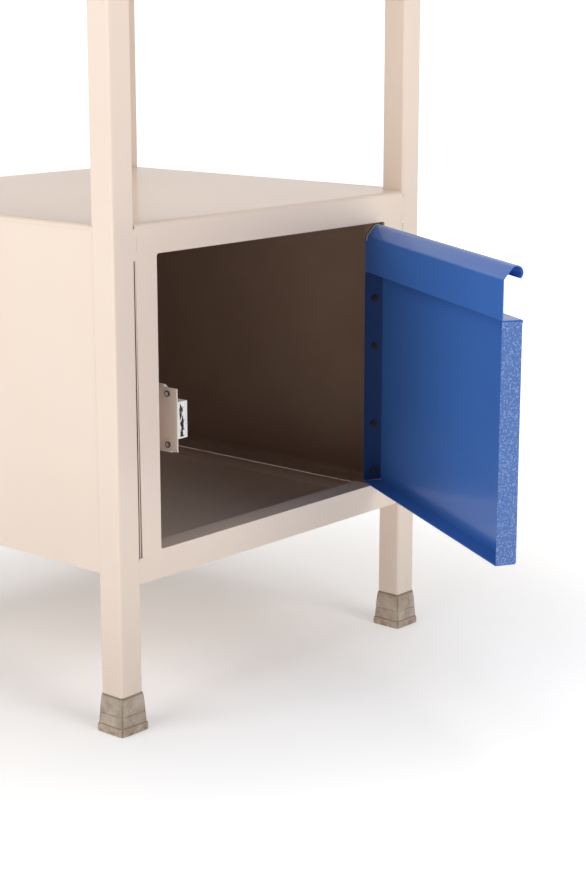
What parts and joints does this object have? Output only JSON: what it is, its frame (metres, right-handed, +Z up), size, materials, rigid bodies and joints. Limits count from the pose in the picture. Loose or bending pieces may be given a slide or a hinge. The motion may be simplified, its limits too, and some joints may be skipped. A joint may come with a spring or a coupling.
{
  "type": "bedside cabinet",
  "caption": "Hospital bedside cabinet in ivory painted steel on square tube legs, with a blue hinged door standing open, an open bay and a drawer under a stainless top",
  "frame": {"origin": "on the floor at the middle of the four legs", "axes": "+X right along the front, +Y to the back, +Z up"},
  "size_m": [0.4126, 0.6699, 0.81],
  "materials": {
    "ivory_enamel": "fine orange-peel powder coat",
    "blue_enamel": "glossy powder coat",
    "stainless": "brushed",
    "grey_rubber": "matt moulded",
    "zinc": "zinc plated",
    "ferrite": "sintered",
    "white_plastic": "moulded"
  },
  "bodies": {
    "carcass": {"cabinet_back": "ivory_enamel", "cabinet_floor": "ivory_enamel", "cabinet_side_left": "ivory_enamel", "cabinet_side_right": "ivory_enamel", "cabinet_top": "ivory_enamel", "catch_body": "white_plastic", "catch_bracket": "ivory_enamel", "catch_magnet": "ferrite", "catch_nuts": "zinc", "catch_pole_plates": "zinc", "catch_screws": "zinc", "drawer_case_back": "ivory_enamel", "drawer_case_floor": "ivory_enamel", "drawer_case_side_left": "ivory_enamel", "drawer_case_side_right": "ivory_enamel", "drawer_front_rail": "ivory_enamel", "drawer_runner_left": "ivory_enamel", "drawer_runner_right": "ivory_enamel", "front_frame": "ivory_enamel", "hinge_frame_leaf_lower": "zinc", "hinge_frame_leaf_upper": "zinc", "hinge_frame_nuts": "zinc", "hinge_frame_screws": "zinc", "hinge_pin_lower": "zinc", "hinge_pin_upper": "zinc", "leg_front_left": "ivory_enamel", "leg_front_right": "ivory_enamel", "leg_rear_left": "ivory_enamel", "leg_rear_right": "ivory_enamel", "shoe_front_left": "grey_rubber", "shoe_front_right": "grey_rubber", "shoe_rear_left": "grey_rubber", "shoe_rear_right": "grey_rubber", "top_rail_front": "ivory_enamel", "top_rail_left": "ivory_enamel", "top_rail_rear": "ivory_enamel", "top_rail_right": "ivory_enamel", "worktop": "stainless", "worktop_screws": "zinc"},
    "door": {"door_panel": "blue_enamel", "hinge_door_leaf_lower": "zinc", "hinge_door_leaf_upper": "zinc", "hinge_door_nuts": "zinc", "hinge_door_screws": "zinc"},
    "drawer": {"drawer_box": "ivory_enamel", "drawer_front": "blue_enamel", "drawer_front_nuts": "zinc", "drawer_front_screws": "zinc", "drawer_slide_left": "zinc", "drawer_slide_right": "zinc", "drawer_stop_lugs": "zinc"}
  },
  "joints": [
    {"name": "door_hinge", "type": "hinge", "parent": "carcass", "child": "door", "pos_m": [0.1492, -0.2046, 0.25275], "axis": [0, 0, 1], "range_deg": [-60, 110]},
    {"name": "drawer_slide", "type": "slide", "parent": "carcass", "child": "drawer", "axis": [0, -1, 0], "range_m": [0, 0.265]}
  ]
}
